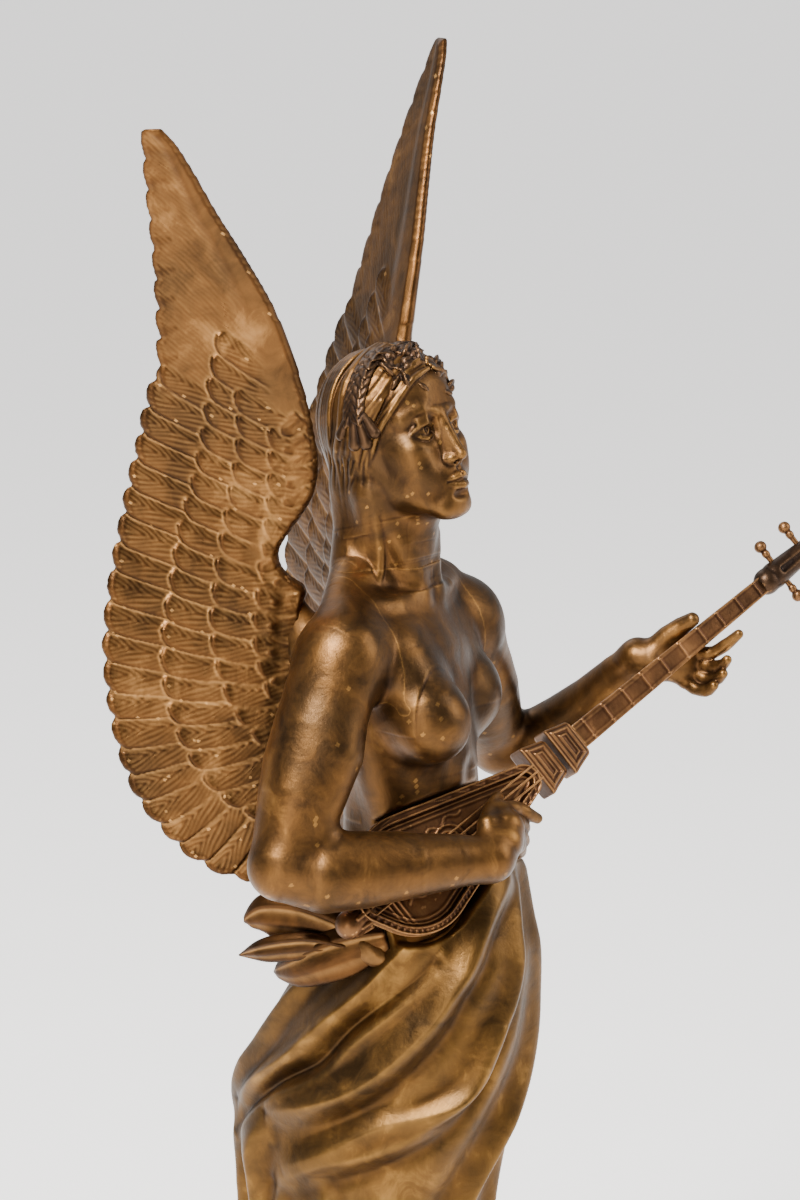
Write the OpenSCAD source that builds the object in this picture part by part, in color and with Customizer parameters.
// Winged musician statuette: hollow castings, sleeved and pinned together, bolted to a turned socle.
// Millimetres, +Z up. The origin is the centre of the felt's underside, and the figure faces -Y.

/* [Figure] */
// Height of the standing figure from the ground to the crown
figure_h = 395; // [300:5:520]
// Thickness of the cast walls
wall = 3; // [2:0.25:3.5]
// Length of the wings above the shoulder, as a factor
wing_stretch = 1.0; // [0.8:0.05:1.25]
// Thickness of a wing at its leading edge
wing_t = 6.5; // [5:0.25:9]

/* [Base] */
// Radius of the stone socle
socle_r = 66; // [58:1:90]
// Height of the stone socle
socle_h = 46; // [34:1:70]
// Height of the bronze plinth on the socle
plinth_h = 18; // [12:1:26]
// Step between the plinth's edge and the socle's top edge
plinth_step = 5; // [3:0.5:10]
// Thickness of the felt under the socle
felt_t = 2; // [1:0.25:3]

/* [Lute] */
// Length of the lute's body from its tail to the collar
lute_body_l = 76; // [64:1:88]
// Greatest width of the lute's body
lute_w = 37; // [30:1:44]
// Depth of the lute's ribs
rib_h = 7; // [5:0.5:9]
// Length of the neck between collar and pegbox
lute_neck_l = 84; // [66:1:100]
// Number of pegs on each side
pegs_per_side = 3; // [2:1:4]

/* [Fixings] */
// Diameter of the rod that ties the figure to its socle
rod_d = 8; // [6:0.5:10]
// Diameter of the spigots that join the limbs
spigot_d = 8; // [6:0.5:9]
// Diameter of the studs that hold the wings
stud_d = 4; // [3:0.5:5]
// Diameter of the cross pins
pin_d = 2; // [1.5:0.25:2.5]
// Gap on the radius between a spigot or rod and its hole
fit_gap = 0.1; // [0.05:0.05:0.2]

/* [Hidden] */
$fn = 64;
hull_fn = 16;
bronze = "#6b4a26";
dark_bronze = "#3d2d22";
golden_bronze = "#8a5f2b";
stone = "#4d2a26";
steel = "#8c8f93";

nominal_h = 395;              // height at which the castings' stations are written
k = figure_h / nominal_h;     // the castings grow with the figure, the fixings don't
ground_z = felt_t + socle_h + plinth_h;
ring_n = 32;                  // points on a casting's ring
steps = 3;                    // rings drawn between two stations

// ---- Shared maths ----

function unit(v) = v / norm(v);
function between(a, b, c, d, t) =
    0.5 * (2 * b + (c - a) * t + (2 * a - 5 * b + 4 * c - d) * t * t + (3 * b - a - 3 * c + d) * t * t * t);
// Smooth list of values through the stations
function through(s, n = steps) = let (m = len(s) - 1)
    [for (i = [0 : m - 1], j = [0 : n - 1]) between(s[max(i - 1, 0)], s[i], s[i + 1], s[min(i + 2, m)], j / n), s[m]];

// Closed solid over rings that all have the same number of points, wound the same way
module skin(rings) {
    n = len(rings[0]);
    m = len(rings);
    sides = [for (i = [0 : m - 2], j = [0 : n - 1]) let (a = i * n + j, b = i * n + (j + 1) % n)
        each [[a, b, b + n], [a, b + n, a + n]]];
    polyhedron([for (r = rings) each r],
        concat([[for (j = [n - 1 : -1 : 0]) j]], sides, [[for (j = [0 : n - 1]) (m - 1) * n + j]]), convexity = 8);
}

// Level ring: station is [height, centre x, centre y, half width, half depth]
function level_ring(s, inset) = [for (j = [0 : ring_n - 1]) let (a = -360 * j / ring_n)
    [s[1] + (s[3] - inset) * cos(a), s[2] + (s[4] - inset) * sin(a), s[0]]];
module casting(stations, inset = 0) skin([for (s = through(stations)) level_ring(k * s, inset)]);

// Limb: path is a list of [x, y, z, radius]; normal is a direction that the path never takes
module limb(path, normal) {
    p = through(path, 2);
    m = len(p) - 1;
    at = [for (q = p) k * [q[0], q[1], q[2]]];
    skin([for (i = [0 : m])
        let (along = unit(at[min(i + 2, m)] - at[max(i - 2, 0)]),
             u = unit(cross(normal, along)), v = cross(along, u))
        [for (j = [0 : 19]) at[i] + k * p[i][3] * (cos(18 * j) * u - sin(18 * j) * v)]]);
}

// Hex nut with its bore
module nut(across, height, bore) difference() {
    cylinder(d = across / cos(30), h = height, $fn = 6);
    translate([0, 0, -1]) cylinder(d = bore, h = height + 2);
}

// Everything of the figure stands on the plinth
module on_ground() translate([0, 0, ground_z]) children();

// ---- Stations of the castings, above the ground at nominal height ----

waist_z = 219;
neck_z = 329;
skirt_stations = [[0, 0, 10, 46, 46], [14, 0, 10, 40, 42], [44, 0, 12, 34, 37],
    [84, 0, 13, 32, 36], [129, 0, 12, 34, 39], [160, 0, 8, 38, 43], [179, 0, 2, 38, 38],
    [196, 0, -6, 37, 32], [210, 0, -10, 34, 27], [waist_z, 0, -11, 31, 24]];
torso_stations = [[waist_z, 0, -11, 31, 24], [234, 0, -9, 26, 19], [250, 0, -7, 23.5, 17],
    [264, 0, -6, 25, 18], [284, 0, -5, 28, 20], [300, 0, -3, 32, 19], [312, 0, -1, 35, 17],
    [320, 0, 1, 30, 14], [325, 0, 2, 18, 12.5], [neck_z, 0, 3, 11.5, 11.5]];
head_stations = [[neck_z, 0, 3, 11.5, 11.5], [336, 0, 2, 10.2, 10.5], [342, 0, 0, 11, 13],
    [347, -0.5, -3, 14, 18], [354, -1, -2, 17.5, 22], [364, -1, 0, 20, 24.5], [375, -0.5, 1, 21, 25],
    [385, 0, 2, 18.5, 22], [391, 0, 2, 13, 15], [nominal_h, 0, 2, 4, 5]];
arm_x = 29;                   // the arms meet the torso on two upright planes
web = 3;                      // floor that closes a casting at a joint
sleeve_h = 7;                 // how far the torso's sleeve reaches into the skirt
spigot_l = 9;
seat_y = 10;                  // the wings are seated on two pockets in the back
stud_x = 19;
stud_z = 298;
pad_t = 5;                    // pads inside the back that the wing studs pass through
right_root = [-arm_x, 0, 312];
left_root = [arm_x, 0, 309];

function hollow(stations, low, high) =
    [for (s = stations) if (s[0] > low && s[0] < high) s];
function station_at(stations, z) = let (fine = through(stations, 8), near = [for (s = fine) abs(s[0] - z)])
    let (i = search(min(near), near)[0]) [z, fine[i][1], fine[i][2], fine[i][3], fine[i][4]];
module cavity(stations, low, high) {
    inner = concat([station_at(stations, low)], hollow(stations, low + 2, high - 2), [station_at(stations, high)]);
    casting(inner, wall);
}

// ---- Base ----

socle_top_r = socle_r - 6;
plinth_r = socle_top_r - plinth_step;
nut_d = rod_d * 1.6;
nut_h = rod_d * 0.8;
washer_r = rod_d * 1.6;
washer_t = 1.6;
recess_h = nut_h + washer_t + 6;
plate_t = 5;
plate_r = 24;
web_hole_r = 14;
seat_z = felt_t + recess_h;
rod_top = ground_z + web + plate_t + nut_h + 3;

module felt_pad() color("#2c4a38") cylinder(r = socle_r - 3, h = felt_t);

module socle() color(stone) difference() {
    translate([0, 0, felt_t]) rotate_extrude() union() {
        square([socle_r, socle_h * 0.24]);
        translate([0, socle_h * 0.24]) square([socle_r - 3, 2]);
        translate([0, socle_h * 0.24 + 2]) polygon([[0, 0], [socle_r - 4, 0], [socle_r - 11, socle_h * 0.3],
            [socle_top_r - 3, socle_h * 0.76 - 10], [0, socle_h * 0.76 - 10]]);
        translate([0, socle_h - 8]) square([socle_top_r - 1, 2]);
        translate([0, socle_h - 6]) square([socle_top_r, 6]);
    }
    translate([0, 0, -1]) cylinder(r = washer_r + 4, h = seat_z + 1);
    translate([0, 0, -1]) cylinder(r = rod_d / 2 + 0.5, h = ground_z);
}

module plinth() color(dark_bronze) difference() {
    translate([0, 0, felt_t + socle_h]) rotate_extrude() union() {
        square([plinth_r, plinth_h * 0.4]);
        translate([0, plinth_h * 0.4]) square([plinth_r - 2, plinth_h * 0.2]);
        translate([0, plinth_h * 0.6]) polygon([[0, 0], [plinth_r - 1, 0], [plinth_r - 2, plinth_h * 0.25],
            [plinth_r - 5, plinth_h * 0.4], [0, plinth_h * 0.4]]);
    }
    translate([0, 0, felt_t + socle_h - 1]) difference() {
        cylinder(r = plinth_r - 2 - wall, h = plinth_h - wall + 1);
        cylinder(r = rod_d + 4, h = plinth_h);
    }
    translate([0, 0, felt_t + socle_h - 1]) cylinder(r = rod_d / 2 + fit_gap, h = plinth_h + 2);
}

module tie_rod() color(steel)
    translate([0, 0, felt_t + 3]) cylinder(d = rod_d, h = rod_top - felt_t - 3);

module rod_washer() color(steel) translate([0, 0, seat_z - washer_t]) difference() {
    cylinder(r = washer_r, h = washer_t);
    translate([0, 0, -1]) cylinder(r = rod_d / 2 + fit_gap, h = washer_t + 2);
}

module rod_nut() color(steel)
    translate([0, 0, seat_z - washer_t - nut_h]) nut(nut_d, nut_h, rod_d + 2 * fit_gap);

module anchor_plate() color(steel) translate([0, 0, ground_z + web]) difference() {
    translate([0, k * 5, 0]) cylinder(r = plate_r, h = plate_t);
    translate([0, 0, -1]) cylinder(r = rod_d / 2 + fit_gap, h = plate_t + 2);
}

module anchor_nut() color(steel)
    translate([0, 0, ground_z + web + plate_t]) nut(nut_d, nut_h, rod_d + 2 * fit_gap);

// ---- Lower body ----

toe_h = 7;

module skirt() color(bronze) on_ground() difference() {
    casting(skirt_stations);
    cavity(skirt_stations, web / k, waist_z + 1);
    translate([0, 0, -1]) cylinder(r = web_hole_r, h = web + 2);
    waist_pin_holes();
    sash_pin_shape();
}

// Toes of one foot that show at the hem; the rest of the foot is under the drapery
module feet() color(bronze) on_ground() intersection() {
    hull() {
        translate(k * [-12, -40, 2]) scale([1, 1, 0.8]) sphere(r = k * toe_h, $fn = hull_fn);
        translate(k * [-15, -50, 1]) scale([1.2, 1, 0.6]) sphere(r = k * toe_h * 0.75, $fn = hull_fn);
    }
    translate([-60, -k * 38.6 - 60, 0]) cube([120, 60, 30]);
}

module petal(from, to, r_from, r_to) hull() {
    translate(k * from) sphere(r = k * r_from, $fn = hull_fn);
    translate(k * to) sphere(r = k * r_to, $fn = hull_fn);
}

// Knotted ends of the drapery at the right hip, on an upright landing
sash_knot = [-38, -4, 216];
sash_x = -37;
sash_tips = [[-41, 31, 222], [-43, 33, 212], [-42, 24, 206]];
sash_pin_l = 12;
module hip_sash() color(golden_bronze) on_ground() difference() {
    intersection() {
        union() for (tip = sash_tips) petal(sash_knot, tip, 6, 2.2);
        translate(k * [sash_x - 60, -100, 0]) cube(k * [60, 200, 300]);
    }
    sash_pin_shape();
}
module sash_pin_shape() translate(k * [sash_x, -4, 213]) rotate([0, 90, 0])
    translate([0, 0, -4]) cylinder(d = pin_d, h = sash_pin_l);
module sash_pin() color(bronze) on_ground() sash_pin_shape();

waist_pin_z = waist_z - sleeve_h / 2;
waist_pin_angles = [35, 145, 215, 325];
module waist_pin_shape(d) for (a = waist_pin_angles)
    translate([0, -k * 11, k * waist_pin_z]) rotate([0, 90, a]) translate([0, 0, k * 19]) cylinder(d = d, h = k * 24);
module waist_pin_holes() waist_pin_shape(pin_d);
module waist_pins() color(bronze) on_ground() intersection() {
    waist_pin_shape(pin_d);
    translate([0, 0, k * waist_pin_z - 5]) linear_extrude(10) translate([0, -k * 11])
        scale([29.5, 22.5]) circle(r = k);
}

// ---- Upper body ----

module sleeve() difference() {
    casting([[waist_z - sleeve_h, 0, -11, 31, 24], [waist_z + 0.5, 0, -11, 31, 24]], wall + fit_gap);
    casting([[waist_z - sleeve_h - 1, 0, -11, 31, 24], [waist_z + 1, 0, -11, 31, 24]], wall + fit_gap + 2);
}

// Turned to point from a shoulder or a seat into the torso
module inward(at) translate(k * at) rotate([0, at[0] < 0 ? 90 : -90, 0]) children();
module at_seats() for (side = [-1, 1])
    translate([side * k * stud_x, k * seat_y, k * stud_z]) rotate([90, 0, 0]) children();

// Space inside the torso, round the bosses that the spigots and studs need
module torso_hollow() difference() {
    cavity(torso_stations, waist_z + web / k, neck_z - (spigot_l + web) / k);
    for (side = [-1, 1]) translate([side * (k * arm_x - web + 20), 0, k * 300]) cube([40, 200, k * 200], center = true);
    for (root = [right_root, left_root]) inward(root) cylinder(r = spigot_d / 2 + web, h = spigot_l + web);
    at_seats() cylinder(r = k * 7 + web, h = pad_t);
    lute_bed(fit_gap + wall);
}

module torso() color(bronze) on_ground() difference() {
    union() {
        difference() {
            casting(torso_stations);
            torso_hollow();
        }
        sleeve();
    }
    for (side = [-1, 1]) translate([side * (k * arm_x + 20), 0, k * 300]) cube([40, 120, k * 120], center = true);
    for (root = [right_root, left_root]) inward(root)
        translate([0, 0, -1]) cylinder(d = spigot_d + 2 * fit_gap, h = spigot_l + 2);
    translate([0, k * 3, k * neck_z - spigot_l - 1]) cylinder(d = spigot_d + 2 * fit_gap, h = spigot_l + 2);
    at_seats() {
        translate([0, 0, -20]) cylinder(r = k * 7 + fit_gap, h = 20);
        translate([0, 0, -1]) cylinder(d = stud_d + 2 * fit_gap, h = pad_t + 2);
    }
    translate([0, -k * 11, k * (waist_z - sleeve_h - 1)]) cylinder(r = k * 10, h = k * (sleeve_h + web + 4));
    lute_bed(fit_gap);
    in_lute() lute_pin_shape();
    arm_pin_shape();
    neck_pin_shape();
    waist_pin_holes();
}

module neck_pin_shape() translate([0, k * 3, k * (neck_z - 4)]) rotate([-90, 0, 0])
    translate([0, 0, -9]) cylinder(d = pin_d, h = 18);
module neck_pin() color(bronze) on_ground() neck_pin_shape();

module arm_pin_shape() for (root = [right_root, left_root])
    translate(k * root + [root[0] < 0 ? spigot_l / 2 : -spigot_l / 2, 0, -9]) cylinder(d = pin_d, h = 16);
module arm_pins() color(bronze) on_ground() arm_pin_shape();

module head() color(bronze) on_ground() difference() {
    union() {
        casting(head_stations);
        petal([-4, -21, 366], [-4.5, -25, 359], 2, 3);
        petal([-7, 23, 356], [7, 23, 356], 6, 6);
        translate([0, k * 3, k * neck_z - spigot_l]) cylinder(d = spigot_d, h = spigot_l + 2);
    }
    cavity(head_stations, 348, 391);
    neck_pin_shape();
}

leaf_count = 16;
wreath_r = [20, 24];
// Laurel leaves round the crown, one beside the next
module laurel_wreath() color(dark_bronze) on_ground() difference() {
    translate(k * [0, 1, 380]) rotate([-12, 0, 0]) linear_extrude(k * 6, center = true) difference() {
        offset(k * 2.5) scale(wreath_r) circle(r = k);
        for (i = [0 : leaf_count - 1]) rotate(360 * i / leaf_count)
            translate([k * 26.5, 0]) circle(r = k * 1.5, $fn = 16);
    }
    casting(head_stations, -0.05);
}

right_arm_path = [[-22, 0, 313, 12], [-29, 0, 312.5, 12.2], [-36, 0, 310, 12.8], [-42, 1, 303, 13.2],
    [-47, 2, 290, 13.2], [-54, 4, 274, 12.8], [-60, 6, 260, 11.6], [-63.5, 3, 250, 11], [-62, -5, 245, 11],
    [-56, -14, 245, 11], [-48, -24, 248, 10], [-38, -37, 251.5, 7.8], [-31, -46, 254, 6], [-24, -53, 255.5, 6.5],
    [-15, -59, 257, 6], [-7, -62, 258, 4]];
left_arm_path = [[22, 0, 310, 12], [29, 0, 309.5, 12.2], [36, 0, 308, 12.8], [44, 1, 301, 12.6], [55, 4, 286, 11.5],
    [67, 7, 270, 10.5], [75, 7, 260, 9.8], [79, 1, 254, 9.4], [80, -8, 255, 9.2], [79, -18, 263, 8.8],
    [77, -30, 275, 7.5], [76, -42, 286, 6.2], [77, -50, 290, 6], [80, -57, 291, 6], [84, -62, 293, 4.6]];

module arm(path, root, normal) color(bronze) on_ground() difference() {
    union() {
        difference() {
            limb(path, normal);
            translate([root[0] < 0 ? -k * arm_x : k * arm_x - 40, -30, k * 290]) cube([40, 60, k * 50]);
        }
        inward(root) translate([0, 0, -2]) cylinder(d = spigot_d, h = spigot_l + 2);
    }
    arm_pin_shape();
}
module right_arm() arm(right_arm_path, right_root, [-0.77, -0.5, 0.28]);
module left_arm() arm(left_arm_path, left_root, [0.8, -0.3, 0.5]);

// ---- Wings ----

// Edges of a wing as [height above its root, distance behind the root along the chord]
wing_front = [[-92, 16], [-84, 8], [-60, 3], [-30, 3], [0, 4], [19, -4], [45, -10.5], [75, -12.5], [104, -9],
    [128, -5.5], [141, -1]];
wing_back = [[-92, 22], [-87, 31], [-75, 46], [-53, 58], [-16, 62], [2, 60], [33, 48.5], [58, 36], [80, 25],
    [110, 14], [141, 1]];
wing_low = -92;
wing_tip = 141;
feather_pitch = 8.2;
wing_rows = 42;
wing_cols = 7;
chord_angle = 35;             // from straight back, outwards
wing_root = [20, 20, 325];

function splay(h, reach) = reach * pow(max(h, 0) / wing_tip, 1.6);
function wing_point(s, h, side, reach, back, stretch) =
    let (p = (1 - s) * lookup(h, wing_front) + s * lookup(h, wing_back),
         scallop = 1 - 0.05 * s * abs(sin(180 * (h - wing_low) / feather_pitch)))
    [k * side * (wing_root[0] + splay(h, reach) + p * scallop * sin(chord_angle)),
     k * (wing_root[1] + back * max(h, 0) / wing_tip + p * scallop * cos(chord_angle)),
     k * (wing_root[2] + h * (h > 0 ? stretch : 1))];
function wing_half_t(s, h) = 0.5 * wing_t * (1 - 0.6 * s) * (1 - 0.4 * max(h, 0) / wing_tip);

// One ring goes out along the wing's outer face and back along its inner face
module wing_plate(side, reach, back, stretch) {
    across = [cos(chord_angle), -side * sin(chord_angle), 0];
    skin([for (i = [0 : wing_rows]) let (h = wing_low + (wing_tip - wing_low) * i / wing_rows)
        concat(
            [for (j = [0 : wing_cols]) let (s = j / wing_cols)
                wing_point(s, h, side, reach, back, stretch) - across * wing_half_t(s, h)],
            [for (j = [wing_cols : -1 : 0]) let (s = j / wing_cols)
                wing_point(s, h, side, reach, back, stretch) + across * wing_half_t(s, h)])]);
}

module wing(side, reach, back, stretch) color(golden_bronze) on_ground() difference() {
    union() {
        wing_plate(side, reach, back, stretch * wing_stretch);
        translate([side * k * stud_x, k * seat_y, k * stud_z]) rotate([-90, 0, 0]) cylinder(r = k * 7, h = k * 19);
    }
    stud_shape(stud_d + 2 * fit_gap);
}
module right_wing() wing(-1, 70, 11, 1);
module left_wing() wing(1, 52, 4, 1.1);

stud_out = 9;
wing_nut_h = stud_d * 0.8;
stud_in = pad_t + wing_nut_h + 0.8;
module stud_shape(d) at_seats() translate([0, 0, -stud_out]) cylinder(d = d, h = stud_in + stud_out);
module wing_studs() color(steel) on_ground() stud_shape(stud_d);
module wing_nuts() color(steel) on_ground()
    at_seats() translate([0, 0, pad_t]) nut(stud_d * 1.7, wing_nut_h, stud_d + 2 * fit_gap);

// ---- Lute ----

tail = [-46, -9.5, 231];       // tail of the lute, above the ground
lute_axis = unit([0.803, -0.380, 0.459]);
face_dir = unit([-0.576, -0.691, 0.437]);
lute_face = unit(face_dir - (face_dir * lute_axis) * lute_axis);
lute_side = cross(lute_face, lute_axis);

// X runs from the tail to the head, Z out of the soundboard
module in_lute() translate(k * tail) multmatrix([for (i = [0 : 2]) [lute_axis[i], lute_side[i], lute_face[i], 0]])
    children();

board_t = 1.2;
rim_w = 2.6;
rim_t = 1.8;
block_l = 5;
collar_l = 9;
collar_gap = 1;
neck_w = [8, 5.5];
neck_t = 4.5;
pegbox_l = 34;
collar_x = lute_body_l;
neck_x = lute_body_l + 2 * collar_l + collar_gap;
pegbox_x = neck_x + lute_neck_l;

module pear(inset = 0) offset(-inset) hull() {
    translate([lute_w / 2 + block_l, 0]) circle(d = lute_w);
    translate([block_l + 1, 0]) square([2, 12], center = true);
    translate([lute_body_l - 1, 0]) square([2, 11], center = true);
}

module lute_bowl() color(bronze) on_ground() in_lute() difference() {
    hull() {
        translate([0, 0, -rib_h + 2]) linear_extrude(rib_h - 2 - board_t) pear();
        translate([0, 0, -rib_h]) linear_extrude(1) pear(3);
    }
    hull() {
        translate([0, 0, -rib_h + 3]) linear_extrude(rib_h - 3) pear(1.6);
        translate([0, 0, -rib_h + 1.5]) linear_extrude(1) pear(4.6);
    }
    lute_pin_shape();
}
module lute_soundboard() color(bronze) on_ground() in_lute() difference() {
    translate([0, 0, -board_t]) linear_extrude(board_t) pear();
    for (y = [-8, 8]) translate([lute_w * 0.95, y, -board_t - 1]) cylinder(r = 1.2, h = board_t + 2);
}
module lute_rim() color(golden_bronze) on_ground() in_lute() linear_extrude(rim_t) difference() {
    pear();
    pear(rim_w);
}
module lute_tail_block() color(golden_bronze) on_ground() in_lute() translate([0, 0, -rib_h / 2]) rotate([0, 90, 0])
    cylinder(d = rib_h, h = block_l - 0.1);
module lute_bridge() color(golden_bronze) on_ground() in_lute()
    translate([lute_w * 0.62, 0, 0]) cylinder(d = 5, h = rim_t);

// Waisted block with one wide and one narrow end
module collar(x, wide, narrow, deep) translate([x, 0, -rib_h / 2]) rotate([90, 0, 90])
    hull() {
        translate([-wide / 2, -deep / 2, 0]) cube([wide, deep, 2.5]);
        translate([-narrow / 2, -deep / 2 + 1, 0]) cube([narrow, deep - 2, collar_l]);
    }
module lute_lower_collar() color(golden_bronze) on_ground() in_lute() collar(collar_x, 18, 12, rib_h + 3);
module lute_upper_collar() color(golden_bronze) on_ground() in_lute()
    collar(collar_x + collar_l + collar_gap, 17, 12, rib_h + 3);
module lute_neck() color(golden_bronze) on_ground() in_lute() translate([neck_x, 0, -neck_t]) linear_extrude(neck_t)
    polygon([[0, -neck_w[0] / 2], [lute_neck_l, -neck_w[1] / 2], [lute_neck_l, neck_w[1] / 2], [0, neck_w[0] / 2]]);

peg_r = 0.8;
peg_reach = 8;
function peg_x(i) = pegbox_x + 7 + i * (pegbox_l - 12) / max(pegs_per_side - 1, 1);
module peg_shafts(r) for (i = [0 : pegs_per_side - 1], side = [-1, 1])
    translate([peg_x(i), side * 1.2, -neck_t / 2]) rotate([-90 * side, 0, 0]) cylinder(r = r, h = peg_reach);
module lute_pegbox() color(dark_bronze) on_ground() in_lute() difference() {
    hull() {
        translate([pegbox_x, 0, -neck_t / 2]) rotate([0, 90, 0]) cylinder(d = neck_t + 2, h = 1);
        translate([pegbox_x + 6, 0, -neck_t / 2]) rotate([0, 90, 0]) cylinder(d = neck_t + 4, h = 1);
        translate([pegbox_x + pegbox_l - 1, 0, -neck_t / 2]) rotate([0, 90, 0]) cylinder(d = neck_t, h = 1);
    }
    peg_shafts(peg_r);
}
module lute_pegs() color(golden_bronze) on_ground() in_lute() {
    peg_shafts(peg_r);
    for (i = [0 : pegs_per_side - 1], side = [-1, 1])
        translate([peg_x(i), side * (peg_reach + 1.2), -neck_t / 2]) sphere(r = 1.9, $fn = 32);
}
string_y = [-2.4, 0, 2.4];
string_r = 0.35;
module lute_strings() color(golden_bronze) on_ground() in_lute() for (y = string_y)
    translate([block_l + 1, y, rim_t + string_r]) rotate([0, 90, 0])
        cylinder(r = string_r, h = collar_x - block_l - 1.1, $fn = 16);

// Bed in the torso that the lute's back lies in
module lute_bed(grow) in_lute() translate([0, 0, -rib_h - grow]) linear_extrude(rib_h + 30) pear(-grow);

// Two pins hold the lute against the body
module lute_pin_shape() for (x = [lute_w * 0.55, lute_body_l * 0.72])
    translate([x, 0, -rib_h - 7]) cylinder(d = pin_d, h = 9);
module lute_pins() color(steel) on_ground() in_lute() lute_pin_shape();

felt_pad();
socle();
plinth();
tie_rod();
rod_nut();
rod_washer();
anchor_plate();
anchor_nut();
feet();
skirt();
hip_sash();
sash_pin();
waist_pins();
torso();
neck_pin();
head();
laurel_wreath();
right_arm();
left_arm();
arm_pins();
right_wing();
left_wing();
wing_studs();
wing_nuts();
lute_bowl();
lute_soundboard();
lute_rim();
lute_tail_block();
lute_bridge();
lute_lower_collar();
lute_upper_collar();
lute_neck();
lute_pegbox();
lute_pegs();
lute_strings();
lute_pins();
